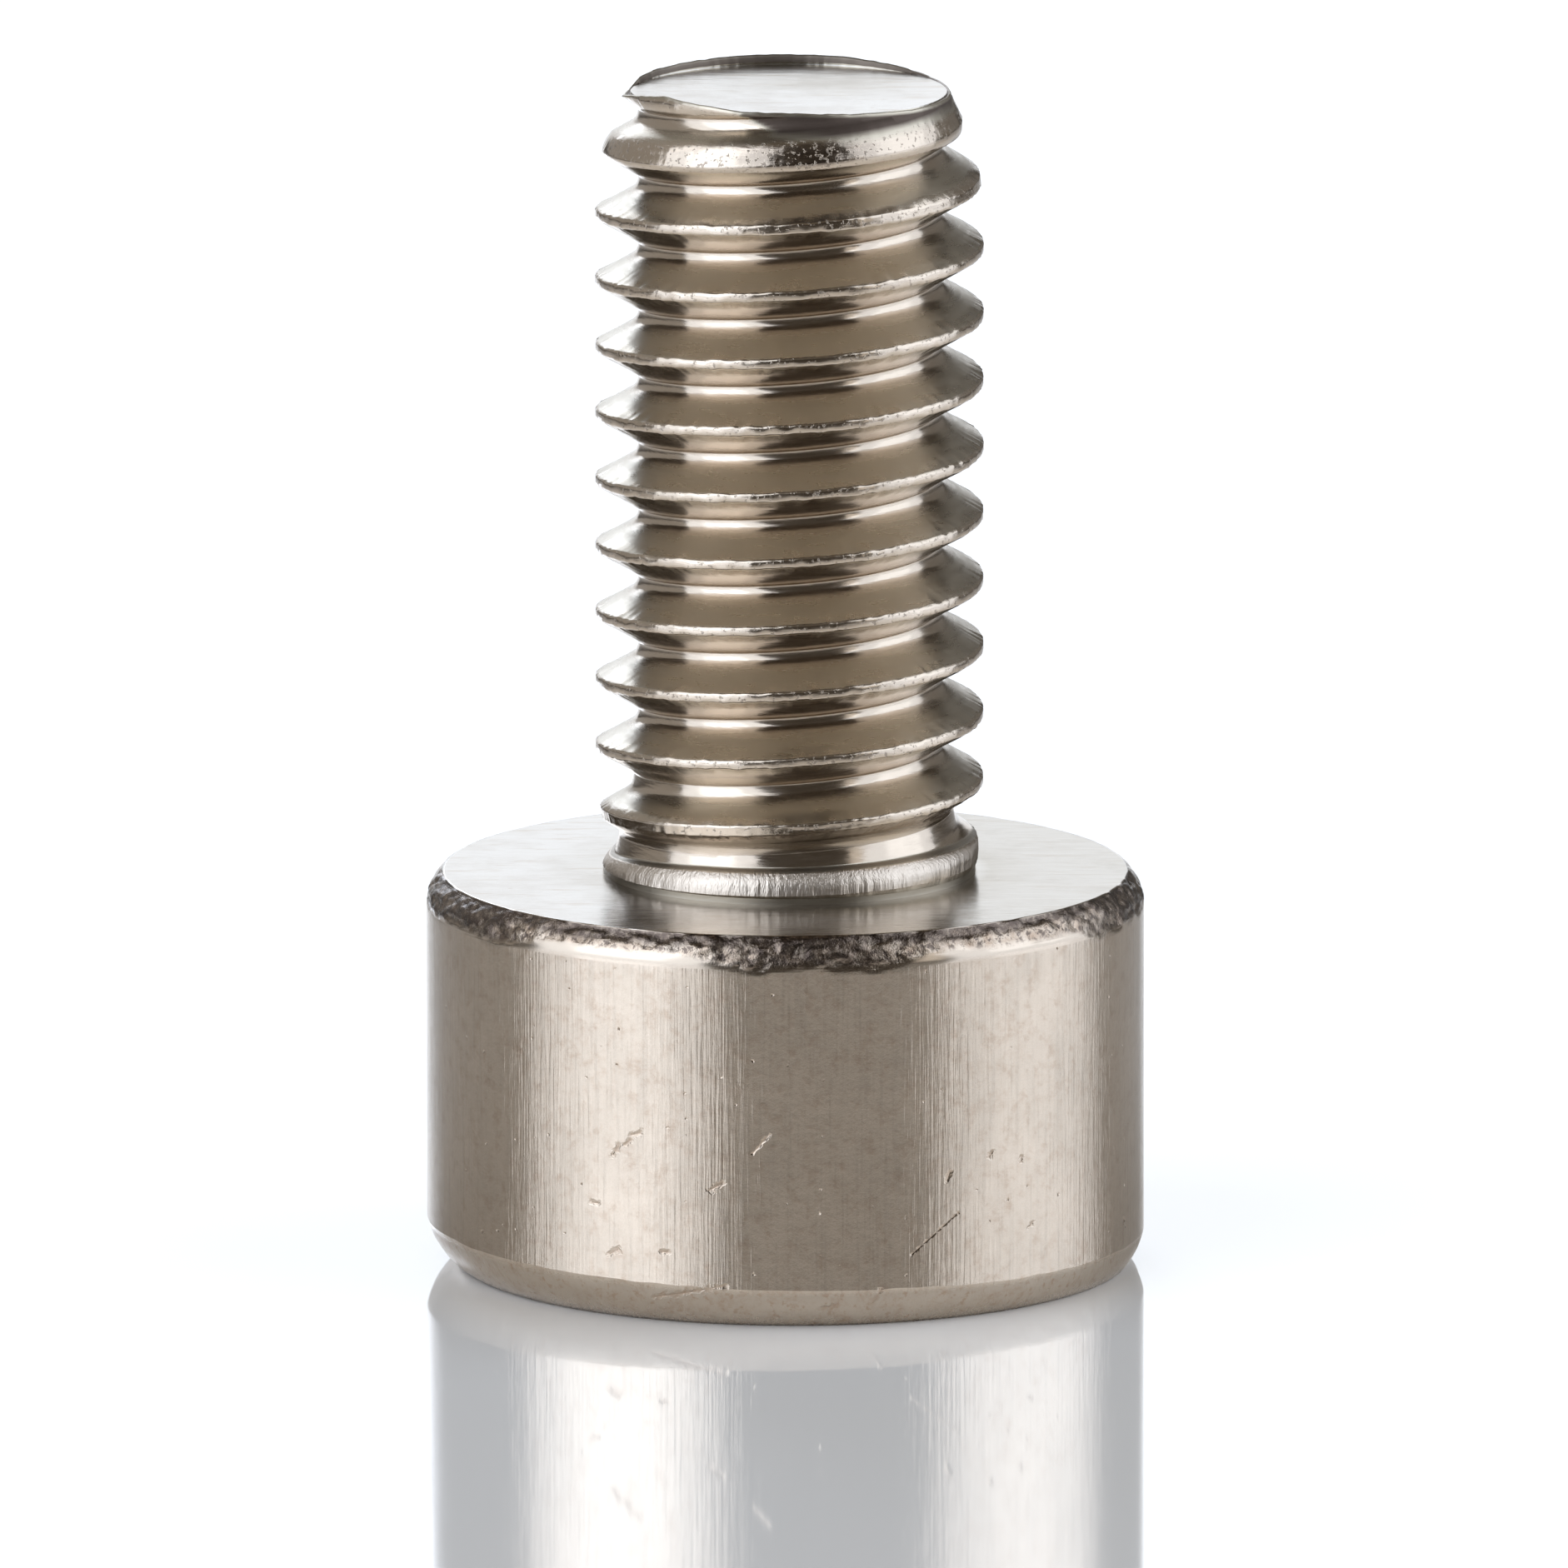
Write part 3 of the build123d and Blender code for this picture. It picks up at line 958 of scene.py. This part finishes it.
def drawn_steel(tree, finish, groups):
    """The head's side: lines along the axis, nicks, small pits, faint stains, and painted shade on
    the edge on the floor.
    """
    broad = tree.use(groups.lines, Stretch=(1.0, 1.0, 0.05), Scale=9.0)
    fine = tree.use(groups.lines, Stretch=(1.0, 1.0, 0.03), Scale=46.0)
    small_pits = tree.use(groups.pits, Scale=8.0, Share=0.3, Size=0.10)
    large_pits = tree.use(groups.pits, Scale=4.0, Share=0.08, Size=0.12)
    hollows = tree.most(head_nicks(tree, groups), tree.most(small_pits, large_pits))
    grain = tree.noise(9.0, 4.0, 0.75)
    stained = tree.use(groups.stain, Scale=1.6, Cover=0.45)
    lines = tree.times_plus(fine, 0.6, tree.times(broad, 0.4))
    # Painted shade on the edge on the floor, with rust specks on it
    shaded_end_edge = tree.mark("dull_and_shaded")
    crumbs = tree.ramp(tree.noise(17.0, 3.0, 0.6), 0.56, 0.68, 0.0, 0.7)
    base = finish.steel
    for share, other in (
        (tree.times(stained, tree.ramp(lines, 0.35, 0.65, 0.25, 0.75)), finish.stain),
        (tree.ramp(fine, 0.5, 0.72, 0.0, 0.5), finish.stain),
        (shaded_end_edge, finish.stain),
        (tree.times(shaded_end_edge, crumbs), finish.rust),
        (tree.ramp(grain, 0.45, 0.75, 0.0, 0.45), finish.rust),
        (tree.times(hollows, 0.5), finish.rust),
    ):
        base = tree.mix(share, base, other)
    smooth = finish.side_roughness
    rough = tree.ramp(lines, 0.3, 0.7, smooth - 0.04, smooth + 0.06)
    rough = tree.times_plus(shaded_end_edge, 0.22, rough)
    lined = tree.bump(tree.times_plus(grain, 0.32, lines), 0.5, 0.000009)
    return base, rough, tree.bump(hollows, 1.0, 0.000005, invert=True, Normal=lined)


def rolled_steel(tree, finish, groups):
    """The thread: dull upper flanks, darker partly as painted shade, bright roots, burred crests
    with dark specks, and painted shade under the point's rim and at the ring.
    """
    dull_and_shaded, burred = tree.mark("dull_and_shaded"), tree.mark("burred")
    ringed = tree.use(groups.lines, Stretch=(0.12, 0.12, 1.0), Scale=26.0)
    toothed = tree.use(groups.lines, Stretch=(1.0, 1.0, 0.12), Scale=34.0)
    stained = tree.use(groups.stain, Scale=2.4, Cover=0.4)
    crumbs = tree.noise(30.0, 3.0, 0.6)
    on_flank = tree.math("MINIMUM", dull_and_shaded, 1.0)
    # Past 1 the mark is painted shade under the point's rim, on the ring's ledge and in the corner
    # at its foot, and a darker lip round the dish
    grime_and_painted_shade = tree.past_one(dull_and_shaded)
    ring_top = HEAD_HEIGHT + 0.28
    by_ring = tree.ramp(tree.parts(tree.place)["Z"], ring_top, ring_top - 0.06)
    on_ring = tree.times(by_ring, burred)
    specks = tree.times(burred, tree.ramp(crumbs, 0.59, 0.67, 0.0, 0.5))
    specks = tree.times(specks, tree.times_plus(by_ring, -0.7, 1.0))
    # Painted shade on the first crest in front
    painted_shade = tree.times(tree.past_one(burred), tree.ramp(crumbs, 0.62, 0.50))
    base = tree.mix(tree.times(stained, 0.30), finish.steel, finish.stain)
    # Darker upper flanks: partly duller steel, partly painted shade for the shaded floor that they
    # mirror
    base = tree.mix(on_flank, base, finish.flank)
    base = tree.mix(tree.times(on_ring, 0.3), base, finish.bright)
    # Dark specks on the burrs, and painted shade in the grime colour
    base = tree.mix(tree.most(tree.most(specks, painted_shade), grime_and_painted_shade), base, finish.grime)
    smooth = finish.thread_roughness
    rough = tree.ramp(ringed, 0.3, 0.7, smooth - 0.04, smooth + 0.05)
    for mark, rougher in ((on_flank, 0.15), (grime_and_painted_shade, 0.20), (on_ring, 0.38)):
        rough = tree.times_plus(mark, rougher, rough)
    teeth = tree.times(tree.times(toothed, by_ring), 1.4)
    burrs = tree.times_plus(crumbs, 0.05, tree.times(specks, -0.25))
    relief = tree.times(burred, tree.math("ADD", teeth, burrs))
    lined = tree.bump(ringed, 0.35, 0.000006)
    return base, rough, tree.bump(relief, 0.9, 0.000014, Normal=lined)


def faced_steel(tree, finish, groups):
    """The bearing face and the point's dish: burnished, bright, with a few specks, and painted
    shade on the face.
    """
    specks = tree.use(groups.pits, Scale=3.4, Share=0.3, Size=0.1)
    stained = tree.use(groups.stain, Scale=2.2, Cover=0.4)
    drawn_out = tree.vector("MULTIPLY", tree.place, (0.5, 2.4, 1.0))
    streaks = tree.noise(3.4, 5.0, 0.65, drawn_out)
    shade = tree.most(tree.times(stained, 0.25), specks)
    shade = tree.most(shade, tree.ramp(streaks, 0.50, 0.70, 0.0, 0.7))
    base = tree.mix(shade, finish.bright, finish.steel)
    # Painted shade on the bearing face, towards the right and near the collar's foot, and a darker
    # patch in the dish
    base = tree.mix(tree.mark("dull_and_shaded"), base, finish.flank)
    smooth = finish.face_roughness
    rough = tree.ramp(stained, 0.0, 1.0, smooth - 0.02, smooth + 0.05)
    swirl = tree.noise(7.0, 4.0, place=tree.vector("MULTIPLY", tree.place, (0.4, 1.6, 1.0)))
    return base, rough, tree.bump(swirl, 0.3, 0.000008)


def torn_steel(tree, finish, groups):
    """The torn edge: smooth below, then rough with rusty hollows, grimy at the top, and painted
    shade where it mirrors the dark room.
    """
    torn = tree.mark("burred")
    crumbs = tree.noise(20.0, 4.0, 0.66)
    stained = tree.use(groups.stain, Scale=7.0, Cover=0.5)
    hollow = tree.times(torn, tree.ramp(crumbs, 0.52, 0.40, 0.0, 0.9))
    # Grime at the top and painted shade, carried as one mark
    grime_and_painted_shade = tree.times(tree.mark("dull_and_shaded"), tree.ramp(crumbs, 0.42, 0.64, 1.0, 0.68))
    base = tree.mix(tree.times(torn, tree.times(stained, 0.7)), finish.steel, finish.rust)
    base = tree.mix(tree.most(hollow, grime_and_painted_shade), base, finish.grime)
    rough = tree.times_plus(torn, tree.ramp(crumbs, 0.35, 0.65, 0.02, 0.12), 0.16)
    return base, rough, tree.bump(tree.times(crumbs, torn), 0.9, 0.000010)


def punched_steel(tree, finish, groups):
    """The socket: scored along the punch's travel, a little darker."""
    scores = tree.use(groups.lines, Stretch=(1.0, 1.0, 0.08), Scale=20.0)
    base = tree.mix(tree.ramp(scores, 0.4, 0.7), finish.steel, finish.stain)
    rough = tree.ramp(scores, 0.3, 0.7, 0.22, 0.36)
    return base, rough, tree.bump(scores, 0.5, 0.000012)


STEELS = (rolled_steel, drawn_steel, faced_steel, torn_steel, punched_steel)


def cleared_tree(owner):
    """The node tree of a material or world, emptied."""
    owner.use_nodes = True
    owner.node_tree.nodes.clear()
    return Tree(owner.node_tree)


def screw_materials(finish):
    groups = new_groups()
    materials = []
    for maker in STEELS:
        material = bpy.data.materials.new(maker.__name__)
        tree = cleared_tree(material)
        place = tree.add("ShaderNodeTexCoord").outputs["Object"]
        tree.place = tree.vector("MULTIPLY", place, (1 / MM, 1 / MM, 1 / MM))
        base, rough, normal = maker(tree, finish, groups)
        shader = tree.add("ShaderNodeBsdfPrincipled", {"Base Color": base, "Metallic": 1.0,
                                                       "Roughness": rough, "Normal": normal})
        tree.add("ShaderNodeOutputMaterial", {"Surface": shader.outputs[0]})
        materials.append(material)
    return materials


# ---------------- studio


def add_object(name, data):
    made = bpy.data.objects.new(name, data)
    bpy.context.scene.collection.objects.link(made)
    return made


def point_at(elevation, azimuth, distance):
    """A place this far from the origin; azimuth 0 is on the camera's side, +90 on its right."""
    return Vector((
        distance * math.cos(elevation) * math.sin(azimuth),
        -distance * math.cos(elevation) * math.cos(azimuth),
        distance * math.sin(elevation),
    ))


def softbox(name, brightness, tint, azimuths, elevations, distance=2.0):
    """A rectangular lamp that fills these angles, in degrees, as seen from the screw."""
    azimuth = math.radians(sum(azimuths) / 2)
    elevation = math.radians(sum(elevations) / 2)
    wide = 2 * distance * math.tan(math.radians(azimuths[1] - azimuths[0]) / 2)
    high = 2 * distance * math.tan(math.radians(elevations[1] - elevations[0]) / 2)
    lamp = bpy.data.lights.new(name, "AREA")
    lamp.shape = "RECTANGLE"
    lamp.size, lamp.size_y = wide, high
    lamp.energy = brightness * math.pi * wide * high
    lamp.color = tint
    lamp_object = add_object(name, lamp)
    lamp_object.location = point_at(elevation, azimuth, distance)
    lamp_object.rotation_euler = lamp_object.location.to_track_quat("Z", "Y").to_euler()
    lamp_object.visible_camera = False


def make_world(studio):
    """White wherever the camera looks; the steel sees a dark room with a white card behind."""
    world = bpy.data.worlds.new("studio_world")
    bpy.context.scene.world = world
    tree = cleared_tree(world)
    x, y, z = tree.parts(tree.add("ShaderNodeTexCoord").outputs["Generated"])
    azimuth = tree.math("DEGREES", tree.math("ARCTAN2", x, tree.times(y, -1.0)))
    elevation = tree.math("DEGREES", tree.math("ARCSINE", z))

    def window(azimuths, elevations, soft):
        """Mask of the directions inside these angles, in degrees, with soft borders."""
        half, edge = (azimuths[1] - azimuths[0]) / 2, soft / 2
        away = tree.math("SUBTRACT", azimuth, sum(azimuths) / 2)
        away = tree.math("ABSOLUTE", tree.math("WRAP", away, 180.0, -180.0))
        across = tree.ramp(away, half + edge, half - edge)
        above = tree.ramp(elevation, elevations[0] - edge, elevations[0] + edge)
        below = tree.ramp(elevation, elevations[1] + edge, elevations[1] - edge)
        return tree.times(across, tree.times(above, below))

    room = tree.times(tree.ramp(elevation, 30.0, 60.0, 0.4, 1.0),
                      tree.ramp(elevation, 84.0, 62.0, 0.3, 1.0))
    card = window((168.0, 197.0), (-5.0, 35.0), 3.0)
    strip = window((42.0, 52.0), (-5.0, 32.0), 3.0)
    left = window((-162.0, -90.0), (2.0, 60.0), 4.0)
    right = window((118.0, 160.0), (2.0, 60.0), 4.0)
    ray = tree.add("ShaderNodeLightPath").outputs
    first = tree.math("LESS_THAN", ray["Glossy Depth"], 1.5)
    walls = tree.times_plus(left, 0.38, tree.times(right, 0.16))
    seen = tree.mix(room, BLACK, studio.room)
    seen = tree.mix(tree.times(first, tree.most(strip, walls)), seen, WHITE)
    seen = tree.mix(card, seen, [studio.card * part for part in studio.card_tint])
    seen = tree.mix(ray["Is Diffuse Ray"], seen, studio.ambient)
    seen = tree.mix(ray["Is Camera Ray"], seen, WHITE)
    background = tree.add("ShaderNodeBackground", {"Color": seen, "Strength": 1.0})
    tree.add("ShaderNodeOutputWorld", {"Surface": background.outputs[0]})


def floor_material(studio):
    """White acrylic sheet: plain from above, more and more a mirror at low angles."""
    material = bpy.data.materials.new("white_acrylic")
    tree = cleared_tree(material)
    facing = tree.add("ShaderNodeLayerWeight", {"Blend": 0.5}).outputs["Facing"]
    mirror = tree.math("POWER", facing, 2.67)
    plain = tree.add("ShaderNodeBsdfDiffuse", {"Color": studio.floor})
    gloss = tree.add("ShaderNodeBsdfGlossy", {"Color": WHITE, "Roughness": 0.05})
    both = tree.add("ShaderNodeMixShader", {0: mirror, 1: plain.outputs[0], 2: gloss.outputs[0]})
    tree.add("ShaderNodeOutputMaterial", {"Surface": both.outputs[0]})
    return material


def make_floor(studio, half_width=4.0):
    mesh = bpy.data.meshes.new("studio_floor")
    corners = [(x * half_width, y * half_width, 0) for x, y in ((-1, -1), (1, -1), (1, 1), (-1, 1))]
    mesh.from_pydata(corners, [], [(0, 1, 2, 3)])
    mesh.materials.append(floor_material(studio))
    floor = add_object("studio_floor", mesh)


def make_camera(studio):
    data = bpy.data.cameras.new("studio_camera")
    data.sensor_width = 36.0
    data.lens = data.sensor_width * studio.view_distance / studio.view_width
    data.clip_start, data.clip_end = 0.01, 100.0
    camera = add_object("studio_camera", data)
    aim = Vector((-0.01 * MM, 0.0, studio.aim_height * MM))
    back = point_at(studio.view_elevation, 0.0, 1.0)
    camera.location = aim + back * studio.view_distance * MM
    camera.rotation_euler = back.to_track_quat("Z", "Y").to_euler()
    bpy.context.scene.camera = camera


# ---------------- operators


class MakeStudio(bpy.types.Operator):
    """Make the floor, the lamps, the world and the camera"""

    bl_idname = "screw.make_studio"
    bl_label = "Make Studio"

    def execute(self, context):
        studio = sizes_of(context.scene.screw_studio)
        context.scene.view_settings.view_transform = "Standard"
        make_floor(studio)
        make_world(studio)
        tint = studio.lamp_tint
        softbox("left_softbox", studio.left_lamp, tint, (-89.0, -23.0), (0.0, 60.0))
        softbox("left_spot", studio.left_spot, tint, (-72.0, -38.0), (4.0, 56.0), 1.9)
        softbox("right_softbox", studio.right_lamp, tint, (52.0, 118.0), (0.0, 60.0))
        softbox("right_spot", studio.right_spot, tint, (70.0, 104.0), (4.0, 56.0), 1.9)
        softbox("back_softbox", studio.back_lamp, tint, (170.0, 190.0), (0.0, 27.0))
        softbox("rim_softbox", studio.rim_lamp, tint, (188.0, 206.0), (12.0, 40.0), 1.9)
        make_camera(studio)
        return {"FINISHED"}


class MakeScrew(bpy.types.Operator):
    """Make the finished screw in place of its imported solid"""

    bl_idname = "screw.make_screw"
    bl_label = "Make Screw"

    def execute(self, context):
        scene = context.scene
        skin = ScrewSkin(sizes_of(scene.screw_head), sizes_of(scene.screw_thread))
        materials = screw_materials(sizes_of(scene.screw_finish))
        screw = add_object("steel_screw", write_mesh("steel_screw", skin, materials))
        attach(screw, "root")
        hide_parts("screw")
        return {"FINISHED"}


class ScrewPanel(bpy.types.Panel):
    """Sizes, finish and studio of the screw"""

    bl_idname = "VIEW3D_PT_screw"
    bl_label = "Cheese Head Screw"
    bl_space_type = "VIEW_3D"
    bl_region_type = "UI"
    bl_category = "Screw"

    def draw(self, context):
        for name in SETTINGS:
            group = getattr(context.scene, name)
            box = self.layout.box()
            for key in group.__annotations__:
                box.prop(group, key)
        self.layout.operator(MakeStudio.bl_idname)
        self.layout.operator(MakeScrew.bl_idname)


SETTINGS = {
    "screw_head": ScrewHead,
    "screw_thread": ScrewThread,
    "screw_finish": ScrewFinish,
    "screw_studio": ScrewStudio,
}
CLASSES = (*SETTINGS.values(), MakeStudio, MakeScrew, ScrewPanel)


def register():
    for cls in CLASSES:
        bpy.utils.register_class(cls)
    for name, cls in SETTINGS.items():
        setattr(bpy.types.Scene, name, bpy.props.PointerProperty(type=cls))


def unregister():
    for name in SETTINGS:
        delattr(bpy.types.Scene, name)
    for cls in reversed(CLASSES):
        bpy.utils.unregister_class(cls)


def main():
    register()
    bpy.ops.screw.make_studio()
    bpy.ops.screw.make_screw()


if __name__ == "__main__":
    main()
